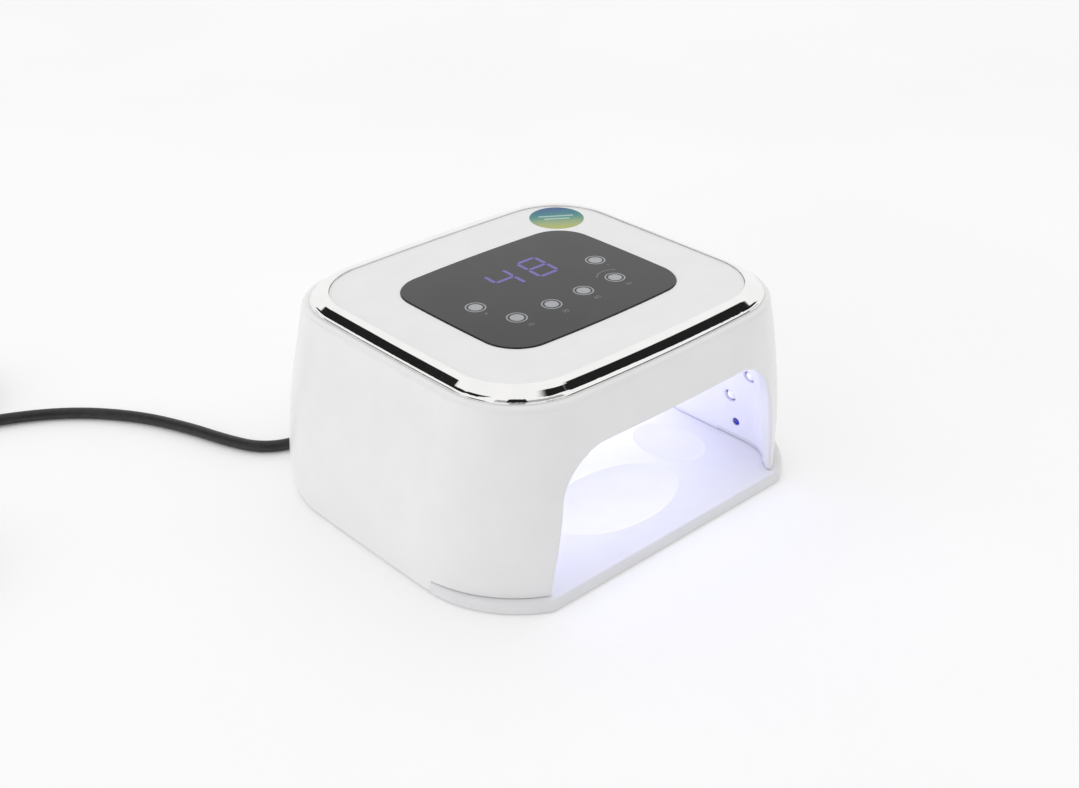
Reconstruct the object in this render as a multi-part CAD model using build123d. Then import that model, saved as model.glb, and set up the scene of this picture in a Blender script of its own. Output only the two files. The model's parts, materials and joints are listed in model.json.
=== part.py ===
from build123d import *
import math
import os

# UV LED nail lamp with a removable base tray, a power lead and a plug-in adapter.
# Millimetres. +Z up, -Y is the open front, +X is the user's right.
# The origin is on the table, at the middle of the lamp's footprint.

# ---- housing ------------------------------------------------------------------------------
DECK_Z = 95.0                   # shoulder that carries the trim ring and the top plate
DECK_T = 2.5
DECK_WINDOW = (114.0, 78.0, 5.0)        # width, depth and corner radius
TOP_Z = 100.0                   # top of the trim ring
PLATE_TOP = 99.3                # the top plate lies a little below the ring
PANEL_TOP = 99.9                # the touch panel stands proud of the plate
WALL = 2.4                      # moulded housing wall
FOOT_GAP = 0.8                  # housing edge above the table
TRAY_TOP = 5.6
LEG_Z = 6.0                     # underside of the two front legs, above the tray
STEP_Y = -45.0                  # where the housing edge steps up from the table to the tray
TRAY_FRONT = -92.0              # straight front edge of the tray
JOIN = 1.0                      # how far a moulded feature runs into the wall that carries it

# Housing outline at each height: z, half width, front, back, front radius, back radius.
HOUSING_PROFILE = [
    (0.0, 107.0, 96.5, 92.0, 58.0, 54.0),
    (8.0, 106.7, 96.0, 92.0, 61.0, 45.5),
    (25.0, 106.0, 95.0, 91.9, 58.0, 44.0),
    (50.0, 102.9, 92.9, 90.6, 52.6, 43.0),
    (70.0, 99.4, 90.2, 88.6, 48.0, 42.0),
    (85.0, 96.4, 88.0, 87.0, 45.0, 41.0),
    (DECK_Z, 94.2, 86.2, 86.0, 42.5, 39.5),
]
TRAY_OUTLINE = (107.0, 98.9, 92.0, 56.1, 45.0)      # the tray's lip stands out around the legs
SIDE_BOW = 0.9                  # outward bow of the side walls
END_BOW = 3.5                   # outward bow of the front and back walls
SHOULDER_R = 3.2

# Hand opening in the front wall.
MOUTH_HALF = 73.2               # half width at the legs' underside
MOUTH_TOP = 71.4
MOUTH_LEAN = 0.1425             # each side leans inward this much per unit of height
MOUTH_R = 24.0
MOUTH_BACK = -70.0              # how far back the opening is cut
RIM_T = 2.0                     # thickness of the flange that runs back from the mouth to the liner
MOUTH_EDGE_R = 1.2

# Chamber liner: z, half width of its inner face.
LINER_WALL = 1.6
LINER_FRONT = 85.2
LINER_SETBACK = 1.5             # the liner's own opening is this much larger than the mouth
LINER_BACK = 68.0
CEILING_Z = 73.5
LINER_PROFILE = [(0.0, 85.3), (30.0, 82.4), (50.0, 78.0), (CEILING_Z, 70.0)]
LINER_FRONT_R = 20.0
LINER_BACK_R = 34.0
LINER_TOP_R = 12.0

# Top furniture: half x, half y, corner radius, side bow, end bow.
RING_OUTER = (90.7, 82.8, 36.9, 0.9, 4.1)
RING_INNER = (83.2, 73.5, 32.0, 0.2, 2.0)
RING_LIP = 0.6                  # width and height of the ring's flange
RING_RISE = 3.4                 # height and width of its slope
RING_RUN = 5.0
RING_TOP_R = 6.0
RING_FOOT_R = 2.4
PANEL = (57.1, 45.9, 18.8, 0.9, 2.1)
PANEL_Y = -1.0
PANEL_T = 1.6
PANEL_R = 0.4                   # rounding of the panel's top edge
TAPE_T = 0.3
TAPE_WINDOW = (99.0, 73.0, 8.0)
PLATE_WINDOW = (98.0, 72.0, 8.0)
PLATE_T = 3.5
KEY_SPOTS = [(-38.0, 0.5), (-31.0, -19.7), (-10.2, -20.3), (10.2, -20.3), (31.0, -19.7), (38.0, 0.5)]
STICKER_SPOT = (61.7, 52.5)
STICKER_R = 14.0
STICKER_T = 0.15

# ---- electronics --------------------------------------------------------------------------
BOARD_T = 1.6
LED_R = 3.0
LED_PROUD = 1.2                 # how far an LED lens stands into the chamber
CEILING_BOARD_Z = CEILING_Z + LINER_WALL + 1.0
CEILING_LED_X = [-44, -22, 0, 22, 44]
CEILING_LED_Y = [-56, -28, 0, 28]
CEILING_SCREWS = [(33.0, -42.0), (33.0, 14.0)]
SIDE_BOARD_X = 86.6             # middle of each side board
SIDE_BOARD_Z = 40.0
SIDE_TILT = 12.4                # degrees; the side boards follow the liner's wall
SIDE_BOARD_Y = -13.0
UPPER_LED_Y = [-67, -40, -13, 14, 41]
LOWER_LED_Y = [-53, -26, 1, 28]
SIDE_LED_ROW = 9.0              # each row of side LEDs from the board's centre line
SIDE_SCREW_Y = [-27.0, 57.0]
REAR_BOARD_Y = 74.0
REAR_LED_X = [-30, -10, 10, 30]
REAR_LED_Z = 38.0
REAR_SCREW_X = [-20, 20]
BOARD_HOLE_R = 1.6
CONTROL_Z = 83.0                # underside of the control board
CONTROL_POSTS = [(58.0, 46.0), (58.0, 68.0)]
DISPLAY_Z = 93.0                # underside of the display board
DISPLAY_BOARD = (112.0, 68.0, 4.0)       # width, depth and corner radius
DISPLAY_POSTS = [(53.0, 29.0), (53.0, -31.0)]
SENSOR_Y = -56.4
SENSOR_Z = 15.3

# ---- bottom -------------------------------------------------------------------------------
BASE_TOP = 2.8                  # top of the bottom frame's plate
LEG_PLATE_TOP = 8.0             # top of its raised ends, inside the legs
SCREW_POSTS = [(101.6, -22.0), (101.2, 38.0), (52.0, 85.4)]
FOOT_SPOTS = [(95.5, -34.0), (78.0, 66.0)]
MAGNET_SPOTS = [(88.2, -70.1), (94.0, -59.5)]
MAGNET_R = 2.0
VENT_COUNT = 7
VENT_PITCH = 10.0
VENT_WIDTH = 3.0
TRAY_BASE = 0.5                 # underside of the tray, above the table
TRAY_GAP = 0.2                  # between the tray's lip and the housing's step
TRAY_REAR_HALF = 84.2
TRAY_REAR = 67.2
TRAY_PADS = [(92.0, -52.0), (55.0, -84.0), (60.0, 45.0)]
TRAY_PAD_R = 4.0
PALM_DISH = (0.0, -53.0, 38.0, 23.0, 3.0)           # x, y, half width, half depth, sinking
THUMB_DISH = (57.0, -36.0, 15.5, 20.5, 2.4)

# ---- cord ---------------------------------------------------------------------------------
CORD_D = 6.0
JACK_Z = 11.0
PLUG_Y = 99.5                   # the plug's side arm runs along the back wall
CORD_ROUTE = [
    (-36.0, PLUG_Y, JACK_Z), (-47.5, PLUG_Y, JACK_Z), (-60.5, 97.4, 5.4), (-79.0, 94.8, 3.0),
    (-95.5, 103.5, 3.0), (-104.0, 121.0, 3.0), (-112.5, 147.5, 3.0), (-126.0, 176.0, 3.0),
    (-150.0, 204.0, 3.0), (-185.0, 223.0, 3.4), (-222.0, 232.5, 3.8),
]
COIL_OUTER_TURN = 39.0          # radius of the outermost turn's centre line
COIL_INNER_TURN = 27.0
COIL_LIFT = 0.8                 # thickness of the tie under the coil
COIL_HEIGHT = 2 * CORD_D
TAIL_ROUTE = [
    (-222.0, 232.5, 9.8), (-238.0, 236.6, 9.0), (-257.0, 239.0, 4.4), (-274.5, 231.0, 3.0),
    (-284.0, 213.0, 4.0), (-285.0, 195.0, 8.0), (-285.0, 181.0, 8.0),
]
TAIL_X = -285.0                 # the lead enters the adapter here
TAIL_Z = 8.0
ADAPTER_X = (-302.0, -280.0, -268.0)      # cover side, parting line, prong side
ADAPTER_Y = (97.0, 159.0)
ADAPTER_H = 26.0
ADAPTER_WALL = 2.0
PRONG_SPOTS = [(121.65, 13.0), (134.35, 13.0)]      # y, z of the two flat blades
PRONG_REACH = 17.0


# ---- shared helpers -----------------------------------------------------------------------
def outline(half_x, front, back, r_front, r_back, bow_x, bow_y, z=0.0):
    """A rounded rectangle with bowed sides, as a face at height z."""
    x = half_x - bow_x
    y0 = -(front - bow_y)
    y1 = back - bow_y
    middle = (y0 + y1) / 2
    edges = [
        ThreePointArc((-x, y0), (0, -front), (x, y0)),
        ThreePointArc((x, y0), (half_x, middle), (x, y1)),
        ThreePointArc((x, y1), (0, back), (-x, y1)),
        ThreePointArc((-x, y1), (-half_x, middle), (-x, y0)),
    ]
    face = make_face(Curve() + edges).face()
    face = face.fillet_2d(r_front, face.vertices().filter_by(lambda v: v.Y < middle))
    face = face.fillet_2d(r_back, [v for v in face.vertices() if v.Y > middle and abs(v.X) > x - 0.01])
    return Pos(0, 0, z) * face


def even_outline(size, grow=0.0, z=0.0):
    """An outline that is the same at the front and the back, moved out by grow."""
    half_x, half_y, radius, bow_x, bow_y = size
    sizes = (half_x + grow, half_y + grow, half_y + grow, radius + grow, radius + grow)
    return outline(*sizes, bow_x, bow_y, z)


def slab(face, thickness):
    """A face given thickness upward."""
    return extrude(face, thickness, dir=(0, 0, 1))


def block(x0, x1, y0, y1, z0, z1):
    """A box from its limits."""
    centre = ((x0 + x1) / 2, (y0 + y1) / 2, (z0 + z1) / 2)
    return Pos(*centre) * Box(x1 - x0, y1 - y0, z1 - z0)


def post(x, y, z0, z1, radius):
    """An upright cylinder."""
    return Pos(x, y, (z0 + z1) / 2) * Cylinder(radius, z1 - z0)


def pin_y(x, z, y0, y1, radius):
    """A cylinder that lies along Y."""
    return Pos(x, (y0 + y1) / 2, z) * Rot(90, 0, 0) * Cylinder(radius, y1 - y0)


def pin_x(y, z, x0, x1, radius):
    """A cylinder that lies along X."""
    return Pos((x0 + x1) / 2, y, z) * Rot(0, 90, 0) * Cylinder(radius, x1 - x0)


def both_sides(points):
    """The same points on the right and on the left."""
    return [(sign * x, y) for x, y in points for sign in (1, -1)]


def mirror_x(shape):
    """The left-hand copy of a right-hand piece."""
    return mirror(shape, about=Plane.YZ)


def group(pieces):
    """Separate solids kept in one node."""
    return Compound(children=[solid for piece in pieces for solid in piece.solids()])


def screw(length, radius=1.3, head_r=2.6, head_t=1.5):
    """A pan-head screw, shank up, with its head's seat at the origin."""
    shank = Pos(0, 0, length / 2) * Cylinder(radius, length)
    head = Pos(0, 0, -head_t / 2) * Cylinder(head_r, head_t)
    slot = Box(head_r * 1.2, 0.7, 1.4) + Box(0.7, head_r * 1.2, 1.4)
    return shank + head - Pos(0, 0, -head_t) * slot


def tube(points, radii, diameter):
    """A round lead along straight runs joined by arcs."""
    path = FilletPolyline(*points, radius=radii)
    profile = Plane(origin=path @ 0, z_dir=path % 0) * Circle(diameter / 2)
    return sweep(profile, path=path)


def bend_radii(points):
    """The radius at each corner: 0.45 of the shorter run over the tangent of half the turn."""
    radii = []
    for before, here, after in zip(points, points[1:], points[2:]):
        run_in = Vector(here) - Vector(before)
        run_out = Vector(after) - Vector(here)
        half_turn = math.radians(run_in.get_angle(run_out)) / 2
        radii.append(0.45 * min(run_in.length, run_out.length) / math.tan(half_turn))
    return radii


# ---- housing ------------------------------------------------------------------------------
def housing_form(grow):
    """The housing's outer form, moved in or out."""
    faces = []
    for z, half_x, front, back, r_front, r_back in HOUSING_PROFILE:
        sizes = (half_x + grow, front + grow, back + grow, r_front + grow, r_back + grow)
        faces.append(outline(*sizes, SIDE_BOW, END_BOW, z))
    return loft(faces)


def liner_form(grow):
    """The chamber's inner form, moved in or out, open or closed at the table."""
    faces = []
    for z, half_x in LINER_PROFILE:
        sizes = (half_x + grow, LINER_FRONT + grow, LINER_BACK + grow)
        radii = (LINER_FRONT_R + grow, LINER_BACK_R + grow)
        top = z + grow if z == CEILING_Z else z
        faces.append(outline(*sizes, *radii, 0.4, 0.8, top))
    form = loft(faces)
    return fillet(form.faces().sort_by(Axis.Z)[-1].edges(), LINER_TOP_R + grow)


def mouth(grow, y0, y1):
    """The hand opening's outline, moved out by grow, as a solid from y0 to y1."""
    bottom = -20.0
    foot_x = MOUTH_HALF + grow + MOUTH_LEAN * (LEG_Z - bottom)
    top = MOUTH_TOP + grow
    top_x = MOUTH_HALF + grow - MOUTH_LEAN * (top - LEG_Z)
    frame = Plane(origin=(0, y1, 0), x_dir=(1, 0, 0), z_dir=(0, -1, 0))
    points = [(-foot_x, bottom), (foot_x, bottom), (top_x, top), (-top_x, top)]
    face = make_face(Polyline(*points, close=True)).face()
    face = face.fillet_2d(MOUTH_R + grow, [v for v in face.vertices() if v.Y > 0])
    return extrude(frame * face, y1 - y0)


def mouth_flange():
    """The housing's lining of the hand opening, from the front wall back to the liner."""
    return mouth(RIM_T, -130, MOUTH_BACK) - liner_form(LINER_WALL + 0.1)


def below_housing():
    """Everything under the housing's stepped lower edge."""
    rear = block(-130, 130, STEP_Y, 130, -30, FOOT_GAP)
    front = block(-130, 130, -130, STEP_Y, -30, LEG_Z)
    return rear + front


def on_mouth_edge(edge):
    """Whether an edge of the housing goes around the hand opening's outer side."""
    middle = edge.center()
    return middle.Y < MOUTH_BACK - 5 and abs(middle.X) < MOUTH_HALF + 2 and 1 < middle.Z < MOUTH_TOP + 1


def make_housing(outer, inner):
    """White outer shell: walls, deck, mouth flange and screw posts in one moulding."""
    shell = outer - mouth(0, -130, MOUTH_BACK)
    shell = fillet(shell.edges().filter_by(on_mouth_edge), MOUTH_EDGE_R)
    deck = block(-130, 130, -130, 130, DECK_Z - DECK_T, DECK_Z + 10)
    shell = shell - (inner - deck - mouth_flange())
    posts = [post(x, y, BASE_TOP, 20, 4.0) & outer for x, y in both_sides(SCREW_POSTS)]
    posts += [post(x, y, CONTROL_Z + BOARD_T, DECK_Z - JOIN, 3.5) for x, y in both_sides(CONTROL_POSTS)]
    for piece in posts:
        shell = shell + piece
    shell = shell - slab(Pos(0, PANEL_Y, DECK_Z - DECK_T - 5) * RectangleRounded(*DECK_WINDOW), 12)
    shell = shell - pin_y(0, JACK_Z, 80, 100, 5.0)
    for x, y in both_sides(SCREW_POSTS):
        shell = shell - post(x, y, 0, 14, 1.3)
    for x, y in both_sides(CONTROL_POSTS):
        shell = shell - post(x, y, CONTROL_Z, CONTROL_Z + BOARD_T + 6, 1.3)
    return (shell - below_housing()).solid()


def make_ring():
    """Chromed trim ring: a thin flange, and a crown whose slope is rounded above and below."""
    crown = slab(even_outline(RING_OUTER, -RING_LIP, DECK_Z), TOP_Z - DECK_Z)
    crown = chamfer(crown.faces().sort_by(Axis.Z)[-1].edges(), RING_RISE, RING_RUN)
    crown = fillet(crown.faces().sort_by(Axis.Z)[-1].edges(), RING_TOP_R)
    crown = fillet(crown.edges().filter_by(on_ring_foot), RING_FOOT_R)
    flange = slab(even_outline(RING_OUTER, 0.0, DECK_Z), RING_LIP)
    ring = flange + crown - slab(even_outline(RING_INNER, 0.0, DECK_Z - 1), 10)
    return ring.solid()


def on_ring_foot(edge):
    """Whether an edge of the ring's crown lies along the lower end of its slope."""
    return abs(edge.center().Z - (TOP_Z - RING_RISE)) < 0.05


def make_top_plate():
    """White top plate with a sunk seat for the touch panel."""
    plate = slab(even_outline(RING_INNER, -0.15, DECK_Z), PLATE_TOP - DECK_Z)
    hollow = slab(even_outline(RING_INNER, -3.0, DECK_Z - 1), PLATE_TOP - PLATE_T - DECK_Z + 1)
    seat_z = PANEL_TOP - PANEL_T - TAPE_T
    seat = slab(Pos(0, PANEL_Y, 0) * even_outline(PANEL, 0.25, seat_z), 10)
    window = slab(Pos(0, PANEL_Y, 80) * RectangleRounded(*PLATE_WINDOW), 30)
    plate = plate - hollow - seat - window
    for x, y in both_sides(DISPLAY_POSTS):
        plate = plate + post(x, y, DISPLAY_Z + BOARD_T, PLATE_TOP - PLATE_T + JOIN, 3.2)
        plate = plate - post(x, y, DISPLAY_Z, DISPLAY_Z + BOARD_T + 2.6, 0.9)
    return plate.solid()


def make_panel():
    """Dark touch panel."""
    panel = slab(Pos(0, PANEL_Y, 0) * even_outline(PANEL, 0.0, PANEL_TOP - PANEL_T), PANEL_T)
    return fillet(panel.faces().sort_by(Axis.Z)[-1].edges(), PANEL_R).solid()


def make_tape():
    """Adhesive frame that holds the touch panel in its seat."""
    z = PANEL_TOP - PANEL_T - TAPE_T
    frame = slab(Pos(0, PANEL_Y, 0) * even_outline(PANEL, -0.5, z), TAPE_T)
    return (frame - slab(Pos(0, PANEL_Y, z - 1) * RectangleRounded(*TAPE_WINDOW), 4)).solid()


def make_sticker():
    """Round vinyl label."""
    return post(*STICKER_SPOT, PLATE_TOP, PLATE_TOP + STICKER_T, STICKER_R)


# ---- chamber ------------------------------------------------------------------------------
def side_frame(y, row, lift):
    """A place on the right-hand side board: along Y, along its rows, and out toward the chamber."""
    base = Location((SIDE_BOARD_X, y, SIDE_BOARD_Z), (0, -90 - SIDE_TILT, 0))
    return base * Pos(row, 0, lift)


def led(length):
    """One LED with its domed lens, standing on its board."""
    body = Pos(0, 0, length / 2) * Cylinder(LED_R, length)
    return fillet(body.faces().sort_by(Axis.Z)[-1].edges(), LED_R - 0.6)


def side_led_places():
    """Board places of the right-hand LEDs."""
    upper = [(y, SIDE_LED_ROW) for y in UPPER_LED_Y]
    lower = [(y, -SIDE_LED_ROW) for y in LOWER_LED_Y]
    return upper + lower


def make_side_leds():
    """The right-hand LEDs, standing on the side board."""
    length = 5.6
    return [side_frame(y, row, BOARD_T / 2) * led(length) for y, row in side_led_places()]


def make_ceiling_leds():
    """Ceiling LEDs, hanging under their board."""
    length = CEILING_BOARD_Z - CEILING_Z + LED_PROUD
    down = Rot(180, 0, 0)
    return [Pos(x, y, CEILING_BOARD_Z) * down * led(length) for x in CEILING_LED_X for y in CEILING_LED_Y]


def make_rear_leds():
    """Rear-wall LEDs, pointing at the mouth."""
    length = REAR_BOARD_Y - LINER_BACK + LED_PROUD
    return [Pos(x, REAR_BOARD_Y, REAR_LED_Z) * Rot(90, 0, 0) * led(length) for x in REAR_LED_X]


def led_clearance():
    """Holes in the liner around every LED and both presence sensors."""
    hole = LED_R + 0.5
    side_hole = [side_frame(y, row, 5) * Cylinder(hole, 24) for y, row in side_led_places()]
    side_hole.append(pin_x(SENSOR_Y, SENSOR_Z, 78, 95, 2.2))
    cuts = side_hole + [mirror_x(piece) for piece in side_hole]
    cuts += [post(x, y, CEILING_Z - 6, CEILING_Z + 6, hole) for x in CEILING_LED_X for y in CEILING_LED_Y]
    cuts += [pin_y(x, REAR_LED_Z, LINER_BACK - 6, LINER_BACK + 5, hole) for x in REAR_LED_X]
    return cuts


def make_liner():
    """White reflecting liner of the hand chamber."""
    liner = liner_form(LINER_WALL) - liner_form(0)
    liner = liner - mouth(LINER_SETBACK, -120, -60)
    rear = block(-130, 130, STEP_Y + 1.0, 130, -30, BASE_TOP)
    front = block(-130, 130, -130, STEP_Y + 1.0, -30, LEG_PLATE_TOP)
    liner = liner - rear - front
    for cut in led_clearance():
        liner = liner - cut
    return liner.solid()


def make_ceiling_board():
    """LED board over the chamber, with its screw holes."""
    board = slab(Pos(0, -14, CEILING_BOARD_Z) * RectangleRounded(112, 108, 6), BOARD_T)
    for x, y in both_sides(CEILING_SCREWS):
        board = board - post(x, y, 70, 80, BOARD_HOLE_R)
    return board.solid()


def make_side_board():
    """Right-hand LED board."""
    board = side_frame(SIDE_BOARD_Y, 0, 0) * Box(30, 118, BOARD_T)
    for y in SIDE_SCREW_Y:
        board = board - side_frame(y, 0, 0) * Cylinder(BOARD_HOLE_R, 6)
    return board.solid()


def make_rear_board():
    """Rear LED board."""
    board = block(-42, 42, REAR_BOARD_Y, REAR_BOARD_Y + BOARD_T, REAR_LED_Z - 9, REAR_LED_Z + 9)
    for x in REAR_SCREW_X:
        board = board - pin_y(x, REAR_LED_Z, 70, 80, BOARD_HOLE_R)
    return board.solid()


def make_led_screws():
    """Screws that hold the LED boards to the liner."""
    screws = []
    for x, y in both_sides(CEILING_SCREWS):
        screws.append(Pos(x, y, CEILING_BOARD_Z + BOARD_T) * Rot(180, 0, 0) * screw(2.4, 1.3, 2.4, 1.2))
    for x in REAR_SCREW_X:
        place = Pos(x, REAR_BOARD_Y + BOARD_T, REAR_LED_Z) * Rot(90, 0, 0)
        screws.append(place * screw(4.5, 1.3, 2.4, 1.2))
    for y in SIDE_SCREW_Y:
        right = side_frame(y, 0, -BOARD_T / 2) * screw(4.2, 1.3, 2.4, 1.2)
        screws += [right, mirror_x(right)]
    return screws


def make_sensor():
    """Right-hand presence sensor, looking across the chamber through its hole."""
    body = block(87.5, 93.0, SENSOR_Y - 3, SENSOR_Y + 3, SENSOR_Z - 3.5, SENSOR_Z + 3.5)
    eye = pin_x(SENSOR_Y, SENSOR_Z, 84.8, 88.0, 1.8)
    return (body + eye).solid()


# ---- boards under the deck ----------------------------------------------------------------
def make_control_board():
    """Driver and control board, hung from the deck."""
    board = block(-66, 66, 34, 74, CONTROL_Z, CONTROL_Z + BOARD_T)
    for x, y in both_sides(CONTROL_POSTS):
        board = board - post(x, y, 80, 90, BOARD_HOLE_R)
    return board.solid()


def make_control_chips():
    """Controller, LED drivers and regulator on the control board."""
    top = CONTROL_Z + BOARD_T
    chips = [block(-6, 6, 50, 62, top, top + 1.4)]
    chips += [block(x, x + 6.5, 46, 51, top, top + 2.2) for x in (-46, -36, 28, 38)]
    chips.append(block(12, 20, 46, 53, top, top + 2.6))
    return chips


def make_capacitors():
    """Upright electrolytic capacitors."""
    top = CONTROL_Z + BOARD_T
    cans = [post(x, 62, top, top + 6.8, 4.0) for x in (-46, -35, 24)]
    return [fillet(can.faces().sort_by(Axis.Z)[-1].edges(), 0.7) for can in cans]


def make_inductors():
    """Two shielded power inductors."""
    top = CONTROL_Z + BOARD_T
    return [block(x - 5, x + 5, 57, 67, top, top + 5) for x in (-22, 40)]


def make_connectors():
    """White wire-to-board sockets, open at the face that takes the lead."""
    top = CONTROL_Z + BOARD_T
    back = block(-5, 5, 66, 73, top, top + 5.5) - block(-3.6, 3.6, 70, 80, top + 1.2, top + 4.3)
    right = block(59, 65.5, 52, 62, top, top + 5.5) - block(62, 70, 53.4, 60.6, top + 1.2, top + 4.3)
    front = block(-10, 10, 35, 40, top, top + 5.0) - block(-8.5, 8.5, 32, 37.5, top + 1.2, top + 3.6)
    return [back, right, mirror_x(right), front]


def make_board_link():
    """Pin header between the ceiling LED board and the control board."""
    return block(18, 42, 35.6, 38.4, CEILING_BOARD_Z + BOARD_T, CONTROL_Z)


def make_display_board():
    """Touch and display board, hung under the top plate."""
    board = slab(Pos(0, PANEL_Y, DISPLAY_Z) * RectangleRounded(*DISPLAY_BOARD), BOARD_T)
    for x, y in both_sides(DISPLAY_POSTS):
        board = board - post(x, y, 90, 97, 1.1)
    return board.solid()


def make_display():
    """Two-digit display block that fills the space under the panel."""
    case = block(-21, 22, 3, 25, DISPLAY_Z + BOARD_T, PANEL_TOP - PANEL_T - 0.3)
    return fillet(case.edges().filter_by(Axis.Z), 1.0).solid()


def make_key_pads():
    """Conductive foam pads between the board and the panel, one under each key."""
    return [post(x, y, DISPLAY_Z + BOARD_T, PANEL_TOP - PANEL_T, 4.0) for x, y in KEY_SPOTS]


def make_lead(points, bend, diameter):
    """A wire lead with the same bend at every corner."""
    return tube(points, bend, diameter).solid()


def make_led_lead():
    """Lead from the right-hand LED board to the control board."""
    socket_z = CONTROL_Z + BOARD_T + 2.75
    points = [(83.5, 30, 56.5), (86, 36, 66), (84, 46, 80), (76, 56, socket_z), (62.1, 57, socket_z)]
    return make_lead(points, 6.0, 2.6)


def make_jack_lead():
    """Lead from the power jack up the back wall to the control board."""
    socket_z = CONTROL_Z + BOARD_T + 2.75
    points = [(0, 82, JACK_Z + 5), (0, 82, socket_z), (0, 70.1, socket_z)]
    return make_lead(points, 4.5, 2.8)


def make_ribbon():
    """Flat ribbon from the display board to the control board."""
    z0 = CONTROL_Z + BOARD_T + 2.4
    path = FilletPolyline((0, 28, DISPLAY_Z), (0, 28, z0), (0, 37.4, z0), radius=2.5)
    profile = Plane(origin=path @ 0, x_dir=(1, 0, 0), z_dir=path % 0) * Rectangle(15, 0.9)
    return sweep(profile, path=path).solid()


# ---- bottom frame and tray ----------------------------------------------------------------
def chamber_cut(y0, y1, z0, z1, grow=0.0):
    """The chamber's own space between given limits."""
    return liner_form(grow) & block(-130, 130, y0, y1, z0, z1)


def make_bottom_frame(inner):
    """Horseshoe cover under the side and rear walls, raised at its ends inside the legs."""
    fit = inner - mouth(RIM_T + 0.2, -130, -60)
    chamber = liner_form(0)
    low = fit & block(-130, 130, STEP_Y + 0.4, 130, FOOT_GAP, BASE_TOP)
    riser = fit & block(-130, 130, STEP_Y + 0.4, STEP_Y + 2.4, FOOT_GAP, LEG_PLATE_TOP)
    high = fit & block(-130, 130, -130, STEP_Y + 2.4, LEG_Z, LEG_PLATE_TOP)
    frame = low + riser + high - chamber
    liner_seat = chamber_cut(STEP_Y + 1.0, STEP_Y + 3.0, BASE_TOP, 20, LINER_WALL + 0.1)
    frame = frame - liner_seat
    for x, y in both_sides(SCREW_POSTS):
        frame = frame - post(x, y, 0, 5, 1.6) - post(x, y, 0, FOOT_GAP + 1.0, 2.8)
    for x, y in both_sides(FOOT_SPOTS):
        frame = frame - post(x, y, 0, FOOT_GAP + 1.0, 4.4)
    for index in range(VENT_COUNT):
        x = (index - (VENT_COUNT - 1) / 2) * VENT_PITCH
        frame = frame - block(x - VENT_WIDTH / 2, x + VENT_WIDTH / 2, 72, 84, 0, 5)
    return frame


def make_bottom_screws():
    """Six screws up through the bottom frame."""
    return [Pos(x, y, FOOT_GAP + 1.0) * screw(10, 1.3, 2.6, 0.9) for x, y in both_sides(SCREW_POSTS)]


def make_feet():
    """Rubber feet in the bottom frame."""
    return [post(x, y, 0, FOOT_GAP + 1.0, 4.2) for x, y in both_sides(FOOT_SPOTS)]


def dish(x, y, half_x, half_y, depth):
    """A shallow ellipsoidal hollow in the tray's top."""
    rise = 2 * depth
    deep = rise + depth
    spread = math.sqrt(1 - (rise / deep) ** 2)
    bowl = scale(Sphere(1), by=(half_x / spread, half_y / spread, deep))
    return Pos(x, y, TRAY_TOP + rise) * bowl


def make_tray():
    """Removable base tray: a wide front lip and a tongue that fills the chamber's floor."""
    thickness = TRAY_TOP - TRAY_BASE
    wide = slab(outline(*TRAY_OUTLINE, SIDE_BOW, END_BOW, TRAY_BASE), thickness)
    wide = wide & block(-130, 130, TRAY_FRONT, STEP_Y - TRAY_GAP, 0, 10)
    wide = fillet(wide.edges().filter_by(Axis.Z).sort_by(Axis.Y)[:2], 2.0)
    tongue = outline(TRAY_REAR_HALF, 80, TRAY_REAR, 10, 33.5, 0.3, 0.6, TRAY_BASE)
    tray = wide + slab(tongue, thickness)
    rim = tray.faces().sort_by(Axis.Z)[-1].edges().filter_by(lambda e: e.center().Y < STEP_Y - 1)
    tray = fillet(rim, 1.6)
    x, y, half_x, half_y, depth = THUMB_DISH
    tray = tray - dish(*PALM_DISH) - dish(x, y, half_x, half_y, depth) - dish(-x, y, half_x, half_y, depth)
    for x, y in both_sides(MAGNET_SPOTS):
        tray = tray - post(x, y, 0, 4.9, MAGNET_R + 0.1)
    for x, y in both_sides(TRAY_PADS):
        tray = tray - post(x, y, 0, 1.5, TRAY_PAD_R + 0.1)
    return tray.solid()


def make_tray_pads():
    """Pads under the tray."""
    return [post(x, y, 0, 1.5, TRAY_PAD_R) for x, y in both_sides(TRAY_PADS)]


def make_tray_magnets():
    """Disc magnets in the tray's front lip."""
    return [post(x, y, 2.6, 4.9, MAGNET_R) for x, y in both_sides(MAGNET_SPOTS)]


def make_housing_magnets():
    """Disc magnets on the raised ends of the bottom frame."""
    return [post(x, y, LEG_PLATE_TOP, LEG_PLATE_TOP + 2.5, MAGNET_R) for x, y in both_sides(MAGNET_SPOTS)]


# ---- power inlet, plug and cord -----------------------------------------------------------
def make_jack():
    """Barrel jack behind the back wall, with its centre pin."""
    body = block(-5, 5, 78, 89.2, JACK_Z - 5, JACK_Z + 5) + pin_y(0, JACK_Z, 88, 91.8, 4.7)
    body = body - pin_y(0, JACK_Z, 81, 95, 2.85)
    return (body + pin_y(0, JACK_Z, 79, 90, 1.0)).solid()


def make_barrel():
    """Plated barrel of the plug."""
    return (pin_y(0, JACK_Z, 82.0, 92.3, 2.75) - pin_y(0, JACK_Z, 81.0, 93.0, 1.2)).solid()


def make_plug_body():
    """Right-angle moulded plug: a head behind the barrel and an arm along the wall."""
    head = fillet(pin_y(0, JACK_Z, 92.3, 105.2, 5.4).edges(), 1.0)
    arm = fillet(pin_x(PLUG_Y, JACK_Z, -15, 3, 4.5).edges(), 0.8)
    grips = [pin_x(PLUG_Y, JACK_Z, x, x + 0.8, 4.75) for x in (-13.0, -11.2, -9.4)]
    return (head + arm + grips).solid()


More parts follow.
